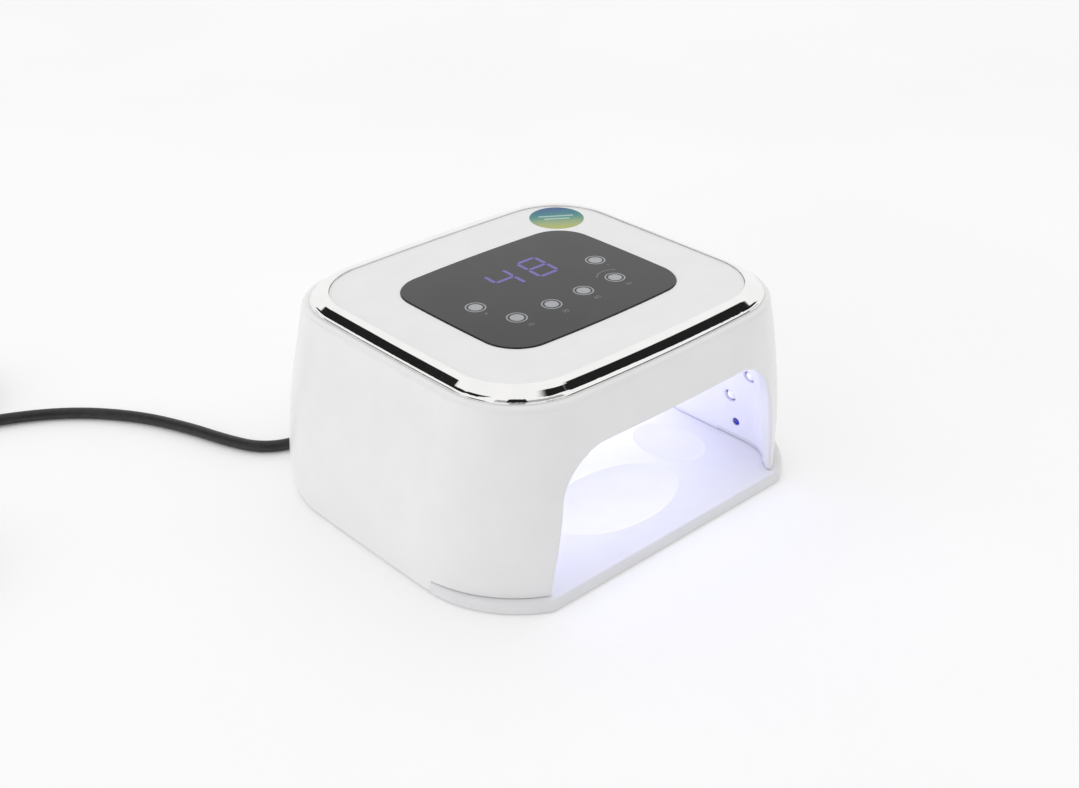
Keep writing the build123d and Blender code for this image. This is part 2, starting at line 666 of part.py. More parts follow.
def make_relief(length, big, small, ribs):
    """A tapered, ribbed strain relief along +Z from its wide end."""
    body = Pos(0, 0, length / 2) * Cone(big, small, length)
    for index in range(ribs):
        z = length * (index + 1) / (ribs + 1)
        radius = big + (small - big) * z / length
        body = body - Pos(0, 0, z) * (Cylinder(big + 1, 0.9) - Cylinder(radius - 0.7, 2))
    return body.solid()


def make_coil():
    """Outer form of the wound-up lead."""
    width = COIL_OUTER_TURN - COIL_INNER_TURN + CORD_D
    middle = (COIL_OUTER_TURN + COIL_INNER_TURN) / 2
    section = Plane.XZ * Pos(middle, COIL_LIFT + COIL_HEIGHT / 2) * RectangleRounded(width, COIL_HEIGHT, 2.9)
    return Pos(*coil_centre(), 0) * revolve(section, Axis.Z).solid()


def coil_centre():
    """The coil lies to the right of the lead's last run, which is tangent to its outer turn."""
    before = Vector(CORD_ROUTE[-2][0], CORD_ROUTE[-2][1])
    end = Vector(CORD_ROUTE[-1][0], CORD_ROUTE[-1][1])
    along = (end - before).normalized()
    return (end.X + along.Y * COIL_OUTER_TURN, end.Y - along.X * COIL_OUTER_TURN)


def make_tie():
    """Strap around one side of the coil."""
    reach = COIL_OUTER_TURN + CORD_D / 2
    inside = COIL_INNER_TURN - CORD_D / 2
    top = COIL_LIFT + COIL_HEIGHT
    strap = block(-5, 5, inside - 1.4, reach + 1.2, 0, top + 0.9)
    strap = strap - block(-6, 6, inside - 0.6, reach + 0.4, COIL_LIFT - 0.1, top + 0.1)
    return Pos(*coil_centre(), 0) * Rot(0, 0, -20) * strap.solid()


def make_adapter_shell(x0, x1):
    """One half of the adapter case, hollow and open at the parting line."""
    left, right = ADAPTER_X[0], ADAPTER_X[2]
    near, far = ADAPTER_Y
    wall = ADAPTER_WALL
    whole = fillet(block(left, right, near, far, 0, ADAPTER_H).edges(), 3.0)
    hollow = block(left + wall, right - wall, near + wall, far - wall, wall, ADAPTER_H - wall)
    return (whole - hollow) & block(x0, x1, 0, 200, -1, 40)


def make_adapter():
    """Plug-in adapter: two case halves, prongs, board and transformer."""
    left, parting, right = ADAPTER_X
    cover = make_adapter_shell(left, parting) - pin_y(TAIL_X, TAIL_Z, 150, 165, 3.6)
    base = make_adapter_shell(parting, right)
    prongs = []
    for y, z in PRONG_SPOTS:
        blade = block(right - 4, right + PRONG_REACH, y - 0.75, y + 0.75, z - 3.2, z + 3.2)
        base = base - blade
        prongs.append(blade - pin_y(right + PRONG_REACH - 4, z, y - 2, y + 2, 1.6))
    board = block(-292, -290.4, 101, 152, 4, 22)
    transformer = block(-290.4, -276, 106, 124, 5, 21)
    return {
        "adapter_cover": cover.solid(),
        "adapter_base": base.solid(),
        "adapter_prongs": group(prongs),
        "adapter_board": board,
        "adapter_transformer": fillet(transformer.edges(), 0.8),
    }


def make_cord_pieces():
    """The plug, the lead, its coil and the adapter."""
    cord_radii = bend_radii(CORD_ROUTE)
    tail_radii = bend_radii(TAIL_ROUTE)
    print("lead bend radii", [round(radius, 1) for radius in cord_radii])
    print("tail bend radii", [round(radius, 1) for radius in tail_radii])
    lead = tube(CORD_ROUTE, cord_radii, CORD_D)
    tail = tube(TAIL_ROUTE, tail_radii, CORD_D)
    for name, piece, route, radii in (("lead", lead, CORD_ROUTE, cord_radii),
                                      ("tail", tail, TAIL_ROUTE, tail_radii)):
        length = FilletPolyline(*route, radius=radii).length
        expected = length * math.pi * CORD_D ** 2 / 4
        print(name, "length", round(length, 1), "volume", round(piece.volume, 1), "of", round(expected, 1))
    plug_relief = Pos(-15, PLUG_Y, JACK_Z) * Rot(0, -90, 0) * make_relief(21, 4.3, 3.5, 5)
    adapter_end = ADAPTER_Y[1]
    adapter_relief = Pos(TAIL_X, adapter_end, TAIL_Z) * Rot(-90, 0, 0) * make_relief(22, 5.0, 3.5, 5)
    neck = pin_y(TAIL_X, TAIL_Z, adapter_end - 3, adapter_end, 3.5)
    pieces = {
        "plug_barrel": make_barrel(),
        "plug_body": make_plug_body(),
        "plug_strain_relief": plug_relief,
        "power_cord": lead.solid(),
        "cord_coil": make_coil(),
        "cord_tail": tail.solid(),
        "cord_tie": make_tie(),
        "adapter_strain_relief": (adapter_relief + neck).solid(),
    }
    pieces.update(make_adapter())
    return pieces


# ---- assembly -----------------------------------------------------------------------------
def make_lamp():
    """Every piece of the lamp by name."""
    whole = housing_form(0)
    outer = fillet(whole.faces().sort_by(Axis.Z)[-1].edges(), SHOULDER_R)
    inner = housing_form(-WALL)
    side_leds = make_side_leds()
    side_board = make_side_board()
    sensor = make_sensor()
    led_lead = make_led_lead()
    control_screws = [Pos(x, y, CONTROL_Z) * screw(6, 1.3, 2.6, 1.5) for x, y in both_sides(CONTROL_POSTS)]
    display_screws = [Pos(x, y, DISPLAY_Z) * screw(4, 0.9, 1.9, 1.1) for x, y in both_sides(DISPLAY_POSTS)]
    pieces = {
        "outer_housing": make_housing(outer, inner),
        "chrome_trim_ring": make_ring(),
        "top_plate": make_top_plate(),
        "touch_panel": make_panel(),
        "panel_tape": make_tape(),
        "round_sticker": make_sticker(),
        "display_board": make_display_board(),
        "digit_display": make_display(),
        "key_foam_pads": group(make_key_pads()),
        "display_screws": group(display_screws),
        "control_board": make_control_board(),
        "control_chips": group(make_control_chips()),
        "power_capacitors": group(make_capacitors()),
        "power_inductors": group(make_inductors()),
        "board_connectors": group(make_connectors()),
        "control_screws": group(control_screws),
        "board_link": make_board_link(),
        "display_ribbon": make_ribbon(),
        "chamber_liner": make_liner(),
        "ceiling_led_board": make_ceiling_board(),
        "right_led_board": side_board,
        "left_led_board": mirror_x(side_board),
        "rear_led_board": make_rear_board(),
        "ceiling_leds": group(make_ceiling_leds()),
        "right_leds": group(side_leds),
        "left_leds": group([mirror_x(piece) for piece in side_leds]),
        "rear_leds": group(make_rear_leds()),
        "led_board_screws": group(make_led_screws()),
        "right_presence_sensor": sensor,
        "left_presence_sensor": mirror_x(sensor),
        "right_led_lead": led_lead,
        "left_led_lead": mirror_x(led_lead),
        "power_jack": make_jack(),
        "jack_lead": make_jack_lead(),
        "bottom_frame": make_bottom_frame(inner),
        "bottom_screws": group(make_bottom_screws()),
        "rubber_feet": group(make_feet()),
        "housing_magnets": group(make_housing_magnets()),
        "base_tray": make_tray(),
        "tray_magnets": group(make_tray_magnets()),
        "tray_pads": group(make_tray_pads()),
    }
    pieces.update(make_cord_pieces())
    return pieces


def main():
    """Write one STEP file per piece."""
    os.makedirs("parts", exist_ok=True)
    for name, piece in make_lamp().items():
        export_step(piece, "parts/" + name + ".step")


main()
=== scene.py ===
import json
import math

import bmesh
import bpy
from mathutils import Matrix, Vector


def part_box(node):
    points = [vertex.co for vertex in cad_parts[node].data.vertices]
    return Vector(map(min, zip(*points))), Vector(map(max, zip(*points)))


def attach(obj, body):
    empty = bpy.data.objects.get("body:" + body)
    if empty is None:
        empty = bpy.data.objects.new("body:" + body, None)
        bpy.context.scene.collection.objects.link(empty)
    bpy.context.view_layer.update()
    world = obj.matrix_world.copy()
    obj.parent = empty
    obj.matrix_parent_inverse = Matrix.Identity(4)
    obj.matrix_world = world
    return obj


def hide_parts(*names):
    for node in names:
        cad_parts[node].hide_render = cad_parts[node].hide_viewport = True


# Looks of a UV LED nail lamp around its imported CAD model. Metres; +Z up, -Y is the open front.

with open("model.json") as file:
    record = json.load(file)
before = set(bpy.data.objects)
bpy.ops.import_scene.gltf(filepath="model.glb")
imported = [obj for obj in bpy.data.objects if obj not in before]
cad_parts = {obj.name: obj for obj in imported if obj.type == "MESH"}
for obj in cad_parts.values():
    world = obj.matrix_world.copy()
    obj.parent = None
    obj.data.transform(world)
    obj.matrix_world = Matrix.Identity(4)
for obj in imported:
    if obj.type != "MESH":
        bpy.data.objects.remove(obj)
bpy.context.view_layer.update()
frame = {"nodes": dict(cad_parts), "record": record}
nodes = frame["nodes"]

HOUSING = "housing"
COLLECTION = bpy.context.scene.collection

# ---- camera ---------------------------------------------------------------------------------
CAMERA_SPOT = (-0.4210, -0.4537, 0.3911)
CAMERA_AZIMUTH = math.radians(-42.92)
CAMERA_ELEVATION = math.radians(29.53)
LENS_MM = 48.645

# ---- cord -----------------------------------------------------------------------------------
CORD_D = 0.006
CORD_ROUTE = [
    (-0.0360, 0.0995, 0.0110), (-0.0475, 0.0995, 0.0110), (-0.0605, 0.0974, 0.0054),
    (-0.0790, 0.0948, 0.0030), (-0.0955, 0.1035, 0.0030), (-0.1040, 0.1210, 0.0030),
    (-0.1125, 0.1475, 0.0030), (-0.1260, 0.1760, 0.0030), (-0.1500, 0.2040, 0.0030),
    (-0.1850, 0.2230, 0.0034),
]
TAIL_ROUTE = [
    (-0.2380, 0.2366, 0.0090), (-0.2570, 0.2390, 0.0044), (-0.2745, 0.2310, 0.0030),
    (-0.2840, 0.2130, 0.0040), (-0.2850, 0.1950, 0.0080), (-0.2850, 0.1810, 0.0080),
]
COIL_ENTRY = (-0.2220, 0.2325)
COIL_TURNS = 4
POINTS_PER_TURN = 16
COIL_OUTER = 0.039              # centre line of the outermost turn
COIL_INNER = 0.027
COIL_LOW = 0.0038               # height of the lower layer's centre line
CLIMB_FROM = 1.9                # turns at which the lead climbs to the upper layer
CLIMB_TO = 2.3
# A NURBS line of order 3 runs a little inside its control points on a circle.
POINT_SPREAD = 1 / (0.75 + 0.25 * math.cos(2 * math.pi / POINTS_PER_TURN))

# ---- printed marks --------------------------------------------------------------------------
MARK_T = 0.00005                # thickness of a printed mark
KEY_SPOTS = [
    (-0.0380, 0.0007), (-0.0312, -0.0197), (-0.0104, -0.0203),
    (0.0102, -0.0199), (0.0312, -0.0197), (0.0383, 0.0006),
]
KEY_DISC_R = 0.0033
KEY_RING_R = (0.0043, 0.0049)
KEY_NUMBERS = ["10", "30", "60", "99"]
NUMBER_DROP = 0.0095            # from a key's centre to its number
NUMBER_SHIFT = 0.0002           # the numbers sit this much left of their keys' centres
NUMBER_SIZE = 0.0034
DOTS = [(-0.0386, -0.0073, 0.0006), (0.0390, -0.0073, 0.0004)]     # x, y and radius
ARC_KEY = 4                     # which of KEY_SPOTS has an arc behind it
ARC_R = (0.0083, 0.0088)
ARC_FROM = math.radians(42)
ARC_SPAN = math.radians(98)
DIGIT_CENTRES = [(-0.0086, 0.0137), (0.0124, 0.0139)]
DIGIT_HALF = (0.0057, 0.0091)   # centre lines of the outer segments
DIGIT_SLANT = 0.07
STROKE = 0.0019
SEGMENT_GAP = 0.0004            # from a digit's corner to the point of a segment
STICKER_ACROSS = (0.56, 0.83)   # the way the sticker's colours run, from front to back
STICKER_R = 0.0135
STICKER_TONES = (
    (0.02, (0.46, 0.48, 0.10)), (0.22, (0.33, 0.42, 0.18)), (0.5, (0.05, 0.27, 0.20)),
    (0.72, (0.01, 0.19, 0.23)), (0.95, (0.015, 0.10, 0.25)),
)
STICKER_BARS = [(0.0022, 0.0085), (-0.0012, 0.0060)]    # offset from the middle, half length
BAR_R = 0.0007
BAR_T = 0.00003


# ---- small helpers --------------------------------------------------------------------------
def add_object(name, data, body=HOUSING):
    """A new piece that moves with a CAD body."""
    piece = bpy.data.objects.new(name, data)
    COLLECTION.objects.link(piece)
    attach(piece, body)
    return piece


def mesh_from(name, build):
    """A mesh filled in by a function that adds to a bmesh."""
    work = bmesh.new()
    build(work)
    bmesh.ops.recalc_face_normals(work, faces=work.faces)
    mesh = bpy.data.meshes.new(name)
    work.to_mesh(mesh)
    work.free()
    return mesh


def add_prism(work, outline, low, high):
    """A closed flat plate from an outline, with its long edges slightly broken."""
    ease = (high - low) * 0.4
    centre = Vector((sum(p[0] for p in outline), sum(p[1] for p in outline))) / len(outline)
    rows = []
    for height, inset in ((low, 0.0), (high - ease, 0.0), (high, ease)):
        row = []
        for x, y in outline:
            inward = (centre - Vector((x, y))).normalized() * inset
            row.append(work.verts.new((x + inward.x, y + inward.y, height)))
        rows.append(row)
    count = len(outline)
    for lower, upper in zip(rows, rows[1:]):
        for i in range(count):
            j = (i + 1) % count
            work.faces.new((lower[i], lower[j], upper[j], upper[i]))
    work.faces.new(rows[0])
    work.faces.new(rows[-1])


def add_band(work, centre, inner, outer, low, high, start=0.0, turn=2 * math.pi, steps=72):
    """A flat ring, or an arc of one, with a square section."""
    full = abs(turn - 2 * math.pi) < 1e-9
    stations = steps if full else steps + 1
    loops = []
    for i in range(stations):
        angle = start + turn * i / steps
        out = Vector((math.cos(angle), math.sin(angle)))
        loop = []
        for radius, height in ((inner, low), (outer, low), (outer, high), (inner, high)):
            place = (centre[0] + out.x * radius, centre[1] + out.y * radius, height)
            loop.append(work.verts.new(place))
        loops.append(loop)
    pairs = list(zip(loops, loops[1:]))
    if full:
        pairs.append((loops[-1], loops[0]))
    else:
        work.faces.new(loops[0])
        work.faces.new(loops[-1])
    for before, after in pairs:
        for i in range(4):
            j = (i + 1) % 4
            work.faces.new((before[i], before[j], after[j], after[i]))


def circle_points(centre, radius, steps=64):
    """Points round a circle."""
    turn = 2 * math.pi / steps
    return [(centre[0] + radius * math.cos(turn * i), centre[1] + radius * math.sin(turn * i))
            for i in range(steps)]


def pill_points(start, end, radius, steps=10):
    """The outline of a stroke with round ends."""
    a, b = Vector(start), Vector(end)
    heading = math.atan2((b - a).y, (b - a).x)
    points = []
    for middle, first in ((b, heading - math.pi / 2), (a, heading + math.pi / 2)):
        for i in range(steps + 1):
            angle = first + math.pi * i / steps
            points.append((middle.x + radius * math.cos(angle),
                           middle.y + radius * math.sin(angle)))
    return points


# ---- camera and cord ------------------------------------------------------------------------
def add_camera():
    """The camera, looking at the lamp's open corner from above."""
    level = math.cos(CAMERA_ELEVATION)
    back = Vector((math.sin(CAMERA_AZIMUTH) * level, -math.cos(CAMERA_AZIMUTH) * level,
                   math.sin(CAMERA_ELEVATION)))
    data = bpy.data.cameras.new("camera")
    data.lens = LENS_MM
    data.sensor_width = 36.0
    data.clip_start = 0.02
    data.clip_end = 50.0
    camera = bpy.data.objects.new("camera", data)
    camera.location = CAMERA_SPOT
    camera.rotation_mode = "QUATERNION"
    camera.rotation_quaternion = (-back).to_track_quat("-Z", "Y")
    COLLECTION.objects.link(camera)
    bpy.context.scene.camera = camera


def coil_points():
    """Control points of the wound-up lead: out to in on the table, then in to out on top."""
    entry = Vector(COIL_ENTRY)
    along = (entry - Vector(CORD_ROUTE[-1][:2])).normalized()
    centre = entry + Vector((along.y, -along.x)) * COIL_OUTER
    first = math.atan2(entry.y - centre.y, entry.x - centre.x)
    points = []
    for i in range(COIL_TURNS * POINTS_PER_TURN + 1):
        turn = i / POINTS_PER_TURN
        if turn < 2:
            radius = COIL_OUTER + (COIL_INNER - COIL_OUTER) * turn / 2
        elif turn < CLIMB_TO:
            radius = COIL_INNER
        else:
            radius = (COIL_INNER + (COIL_OUTER - COIL_INNER) * (turn - CLIMB_TO)
                      / (COIL_TURNS - CLIMB_TO))
        climb = min(1.0, max(0.0, (turn - CLIMB_FROM) / (CLIMB_TO - CLIMB_FROM)))
        angle = first - 2 * math.pi * turn
        reach = radius * POINT_SPREAD
        points.append((centre.x + reach * math.cos(angle), centre.y + reach * math.sin(angle),
                       COIL_LOW + CORD_D * climb))
    return points


def lead_mesh(radius):
    """The lead's smooth line as a mesh: a tube, or where the radius is 0 the bare line."""
    curve = bpy.data.curves.new("lead", "CURVE")
    curve.dimensions = "3D"
    spline = curve.splines.new("NURBS")
    route = CORD_ROUTE + coil_points() + TAIL_ROUTE
    spline.points.add(len(route) - 1)
    for point, place in zip(spline.points, route):
        point.co = (*place, 1.0)
    spline.order_u = 3
    spline.use_endpoint_u = True
    curve.resolution_u = 8
    curve.bevel_depth = radius
    curve.bevel_resolution = 5
    curve.use_fill_caps = True
    holder = bpy.data.objects.new("lead", curve)
    COLLECTION.objects.link(holder)
    bpy.context.view_layer.update()
    mesh = bpy.data.meshes.new_from_object(holder)
    bpy.data.objects.remove(holder)
    for face in mesh.polygons:
        face.use_smooth = True
    return mesh


def add_cord():
    """The low-voltage lead from the plug's strain relief to the adapter's."""
    line = [tuple(vertex.co) for vertex in lead_mesh(0.0).vertices]
    cord = add_object("supply_cord", lead_mesh(CORD_D / 2))
    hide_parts("power_cord", "cord_coil", "cord_tail")
    return cord


add_camera()
supply_cord = add_cord()


# ---- materials ------------------------------------------------------------------------------
class Graph:
    """A node tree under construction."""

    def __init__(self, tree):
        self.tree = tree
        self.tree.nodes.clear()

    def add(self, kind):
        """A new node of a kind."""
        return self.tree.nodes.new(kind)

    def link(self, source, target):
        """Joins an output socket to an input socket."""
        self.tree.links.new(source, target)

    def math(self, kind, first, second=0.0):
        """Arithmetic on sockets and numbers."""
        node = self.add("ShaderNodeMath")
        node.operation = kind
        for socket, value in zip(node.inputs, (first, second)):
            if isinstance(value, (int, float)):
                socket.default_value = value
            else:
                self.link(value, socket)
        return node.outputs["Value"]

    def dot(self, vector, direction):
        """How far a vector reaches along a direction."""
        node = self.add("ShaderNodeVectorMath")
        node.operation = "DOT_PRODUCT"
        node.inputs[1].default_value = direction
        self.link(vector, node.inputs[0])
        return node.outputs["Value"]

    def spread(self, factor, low, high, start=0.3, end=0.7, shape="LINEAR"):
        """A factor between start and end turned into a number between two limits."""
        node = self.add("ShaderNodeMapRange")
        node.interpolation_type = shape
        node.inputs["From Min"].default_value = start
        node.inputs["From Max"].default_value = end
        node.inputs["To Min"].default_value = low
        node.inputs["To Max"].default_value = high
        self.link(factor, node.inputs["Value"])
        return node.outputs["Result"]


class Surface(Graph):
    """A procedural material: noise in the object's own metres drives its look."""

    def __init__(self, name):
        self.material = bpy.data.materials.new(name)
        self.material.use_nodes = True
        super().__init__(self.material.node_tree)
        output = self.add("ShaderNodeOutputMaterial")
        self.shader = self.add("ShaderNodeBsdfPrincipled")
        self.place = self.add("ShaderNodeTexCoord").outputs["Object"]
        self.link(self.shader.outputs["BSDF"], output.inputs["Surface"])

    def set(self, **values):
        """Constant numbers go straight onto the shader's own sockets."""
        for name, value in values.items():
            self.shader.inputs[name.replace("_", " ")].default_value = value

    def noise(self, scale, detail=3.0, stretch=(1.0, 1.0, 1.0)):
        """Noise whose scale is in cells per metre."""
        mapping = self.add("ShaderNodeMapping")
        mapping.inputs["Scale"].default_value = stretch
        texture = self.add("ShaderNodeTexNoise")
        texture.inputs["Scale"].default_value = scale
        texture.inputs["Detail"].default_value = detail
        self.link(self.place, mapping.inputs["Vector"])
        self.link(mapping.outputs["Vector"], texture.inputs["Vector"])
        return texture.outputs["Fac"]

    def ramp(self, factor, *stops):
        """Colours along a factor: each stop is a position and a colour."""
        node = self.add("ShaderNodeValToRGB")
        elements = node.color_ramp.elements
        while len(elements) < len(stops):
            elements.new(0.5)
        for element, (position, colour) in zip(elements, stops):
            element.position = position
            element.color = (*colour, 1.0)
        self.link(factor, node.inputs["Fac"])
        return node.outputs["Color"]

    def distance_along(self, direction, middle):
        """Distance along a direction from a point."""
        offset = self.add("ShaderNodeVectorMath")
        offset.operation = "SUBTRACT"
        offset.inputs[1].default_value = middle
        self.link(self.place, offset.inputs[0])
        return self.dot(offset.outputs["Vector"], direction)

    def colour(self, dark, light, scale, stretch=(1.0, 1.0, 1.0)):
        """Base colour mottled between two tones."""
        tone = self.ramp(self.noise(scale, 4.0, stretch), (0.35, dark), (0.65, light))
        self.link(tone, self.shader.inputs["Base Color"])
        return self

    def gloss(self, low, high, scale, stretch=(1.0, 1.0, 1.0)):
        """Roughness that wanders between two limits."""
        rough = self.spread(self.noise(scale, 3.0, stretch), low, high)
        self.link(rough, self.shader.inputs["Roughness"])
        return self

    def grain(self, scale, depth, strength=0.5, stretch=(1.0, 1.0, 1.0), detail=2.0):
        """Fine relief, its depth in metres."""
        self.relief(self.noise(scale, detail, stretch), depth, strength)
        return self

    def relief(self, height, depth, strength):
        """A bump from any height socket, added to the relief already there."""
        bump = self.add("ShaderNodeBump")
        bump.inputs["Distance"].default_value = depth
        bump.inputs["Strength"].default_value = strength
        self.link(height, bump.inputs["Height"])
        before = self.shader.inputs["Normal"]
        if before.is_linked:
            self.link(before.links[0].from_socket, bump.inputs["Normal"])
        self.link(bump.outputs["Normal"], self.shader.inputs["Normal"])


def gloss_white(name, dark, light, coat=0.1):
    """Glossy moulded ABS: faint flow mottling, orange peel and a polished skin."""
    surface = Surface(name).colour(dark, light, 60.0)
    surface.gloss(0.30, 0.38, 180.0)
    surface.grain(420.0, 0.00002, 0.25)
    surface.set(IOR=1.45, Coat_Weight=coat, Coat_Roughness=0.2)
    return surface.material


def satin(name, dark, light, rough=(0.4, 0.55), scale=900.0, depth=0.00002, strength=0.4):
    """Moulded plastic or rubber with a fine spark texture."""
    surface = Surface(name).colour(dark, light, scale / 4)
    surface.gloss(*rough, scale / 2)
    surface.grain(scale, depth, strength)
    return surface.material


def metal(name, dark, light, rough, stretch, scale=700.0, depth=0.000004):
    """Plated or drawn metal with fine directional marks."""
    surface = Surface(name).colour(dark, light, scale / 6, stretch)
    surface.gloss(*rough, scale, stretch)
    surface.grain(scale, depth, 0.3, stretch)
    surface.set(Metallic=1.0)
    return surface.material


def chrome():
    """Chromium plated trim: mirror bright, with a faint haze."""
    surface = Surface("chrome_trim_look").colour((0.92, 0.92, 0.91), (0.96, 0.95, 0.94), 90.0)
    surface.gloss(0.02, 0.06, 260.0)
    surface.grain(300.0, 0.000006, 0.2)
    surface.set(Metallic=1.0)
    return surface.material


def panel_glass():
    """Dark back-printed acrylic with a polished face and faint finger haze."""
    surface = Surface("panel_look").colour((0.012, 0.011, 0.014), (0.018, 0.017, 0.020), 45.0)
    surface.gloss(0.07, 0.17, 55.0)
    surface.grain(260.0, 0.000008, 0.15)
    surface.set(IOR=1.45)
    return surface.material


def sticker_print():
    """Printed vinyl whose colour runs from blue at the back to yellow-green at the front."""
    surface = Surface("sticker_look")
    low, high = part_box("round_sticker")
    middle = (low + high) / 2
    along = surface.distance_along((*STICKER_ACROSS, 0.0), middle)
    waver = surface.spread(surface.noise(70.0, 2.0), -0.0016, 0.0016)
    wavy = surface.math("ADD", along, waver)
    tone = surface.ramp(surface.spread(wavy, 0.0, 1.0, -STICKER_R, STICKER_R), *STICKER_TONES)
    surface.link(tone, surface.shader.inputs["Base Color"])
    surface.gloss(0.18, 0.3, 200.0)
    surface.grain(900.0, 0.000008, 0.2)
    surface.set(Specular_IOR_Level=0.3)
    return surface.material


def glow(name, colour, strength, dark, light):
    """A printed or moulded mark with light behind it."""
    surface = Surface(name).colour(dark, light, 300.0)
    surface.gloss(0.15, 0.3, 400.0)
    dimmer = tuple(0.9 * c for c in colour)
    tone = surface.ramp(surface.noise(900.0, 2.0), (0.3, dimmer), (0.7, colour))
    surface.link(tone, surface.shader.inputs["Emission Color"])
    surface.set(Emission_Strength=strength)
    return surface.material


def led_lens():
    """Clear violet lenses: the brightest part of each is its crown."""
    surface = Surface("led_look").colour((0.70, 0.70, 0.92), (0.80, 0.80, 0.96), 700.0)
    surface.gloss(0.06, 0.14, 500.0)
    surface.grain(800.0, 0.000008, 0.2)
    tone = surface.ramp(surface.noise(1500.0, 2.0),
                        (0.3, (0.40, 0.36, 1.0)), (0.7, (0.62, 0.60, 1.0)))
    surface.link(tone, surface.shader.inputs["Emission Color"])
    surface.set(Emission_Strength=0.45, Coat_Weight=0.5, Coat_Roughness=0.04)
    return surface.material


def circuit_board(name, mask, trace):
    """Solder mask over copper tracks, with small plated vias."""
    surface = Surface(name)
    tracks = surface.add("ShaderNodeTexBrick")
    tracks.inputs["Scale"].default_value = 130.0
    tracks.inputs["Mortar Size"].default_value = 0.06
    tracks.inputs["Color1"].default_value = (*mask, 1.0)
    tracks.inputs["Color2"].default_value = (*(0.85 * c for c in mask), 1.0)
    tracks.inputs["Mortar"].default_value = (*trace, 1.0)
    surface.link(surface.place, tracks.inputs["Vector"])
    surface.link(tracks.outputs["Color"], surface.shader.inputs["Base Color"])
    surface.gloss(0.25, 0.4, 400.0)
    surface.relief(tracks.outputs["Fac"], 0.00003, 0.4)
    return surface.material


def woven(name, dark, light, scale):
    """Hook-and-loop or foam: a soft, deep pile."""
    surface = Surface(name).colour(dark, light, scale)
    surface.gloss(0.8, 0.95, scale)
    surface.grain(scale * 1.6, 0.00025, 0.8, detail=6.0)
    surface.set(Sheen_Weight=0.3, Sheen_Roughness=0.6)
    return surface.material


def white_strip():
    """White sheathed leads and ribbon with a faint lay of the cores."""
    surface = Surface("ribbon_look")
    surface.colour((0.58, 0.58, 0.55), (0.66, 0.66, 0.64), 400.0, (6.0, 1.0, 1.0))
    surface.gloss(0.4, 0.5, 300.0)
    surface.grain(600.0, 0.00004, 0.5, (4.0, 0.4, 1.0))
    return surface.material


LOOKS = {
    "white_shell": gloss_white("shell_look", (0.865, 0.86, 0.868), (0.885, 0.88, 0.886)),
    "white_liner": gloss_white("liner_look", (0.86, 0.86, 0.88), (0.88, 0.88, 0.895), 0.2),
    "white_tray": gloss_white("tray_look", (0.80, 0.80, 0.815), (0.82, 0.82, 0.832)),
    "chrome_trim": chrome(),
    "panel_acrylic": panel_glass(),
    "printed_vinyl": sticker_print(),
    "led_lens": led_lens(),
    "adhesive_tape": woven("tape_look", (0.03, 0.03, 0.03), (0.06, 0.06, 0.06), 900.0),
    "tie_nylon": woven("tie_look", (0.012, 0.012, 0.013), (0.03, 0.03, 0.032), 1100.0),
    "circuit_board": circuit_board("board_look", (0.020, 0.12, 0.055), (0.05, 0.22, 0.10)),
    "led_board": circuit_board("led_board_look", (0.80, 0.80, 0.78), (0.70, 0.70, 0.66)),
    "display_plastic": satin("display_look", (0.010, 0.010, 0.011), (0.016, 0.016, 0.018)),
    "conductive_foam": woven("foam_look", (0.05, 0.05, 0.055), (0.09, 0.09, 0.095), 1300.0),
    "zinc_screw": metal("screw_look", (0.55, 0.56, 0.58), (0.68, 0.69, 0.71),
                        (0.25, 0.4), (1.0, 1.0, 4.0)),
    "chip_epoxy": satin("chip_look", (0.008, 0.008, 0.008), (0.014, 0.014, 0.014), (0.5, 0.65)),
    "capacitor_can": metal("can_look", (0.50, 0.51, 0.53), (0.62, 0.63, 0.65),
                           (0.2, 0.35), (1.0, 1.0, 6.0)),
    "ferrite": satin("ferrite_look", (0.022, 0.022, 0.024), (0.040, 0.040, 0.043), (0.45, 0.7)),
    "connector_nylon": satin("nylon_look", (0.76, 0.74, 0.67), (0.82, 0.80, 0.74), (0.35, 0.5)),
    "ribbon_pvc": white_strip(),
    "sensor_plastic": satin("sensor_look", (0.03, 0.03, 0.42), (0.05, 0.05, 0.55),
                            (0.08, 0.16), 400.0),
    "wire_pvc": satin("wire_look", (0.40, 0.010, 0.010), (0.50, 0.018, 0.015), (0.3, 0.45)),
    "jack_plastic": satin("jack_look", (0.010, 0.010, 0.010), (0.017, 0.017, 0.017), (0.4, 0.55)),
    "base_plastic": satin("base_look", (0.72, 0.72, 0.73), (0.77, 0.77, 0.78),
                          (0.45, 0.6), 1100.0, 0.00004),
    "foot_rubber": satin("rubber_look", (0.48, 0.48, 0.49), (0.55, 0.55, 0.56),
                         (0.65, 0.8), 1200.0, 0.00004),
    "magnet_nickel": metal("magnet_look", (0.58, 0.59, 0.61), (0.70, 0.71, 0.73),
                           (0.18, 0.3), (1.0, 1.0, 1.0)),
    "plated_barrel": metal("barrel_look", (0.62, 0.61, 0.58), (0.74, 0.73, 0.69),
                           (0.12, 0.24), (1.0, 5.0, 1.0)),
    "plug_pvc": satin("plug_look", (0.010, 0.010, 0.011), (0.018, 0.018, 0.019), (0.4, 0.55)),
    "cord_pvc": satin("cord_look", (0.013, 0.013, 0.014), (0.022, 0.022, 0.023),
                      (0.36, 0.5), 1200.0, 0.000025),
    "adapter_plastic": satin("adapter_look", (0.010, 0.010, 0.011), (0.018, 0.018, 0.019),
                             (0.45, 0.6), 1400.0, 0.00004, 0.6),
}


def paint(piece, material):
    """Gives a piece one material."""
    piece.data.materials.clear()
    piece.data.materials.append(material)


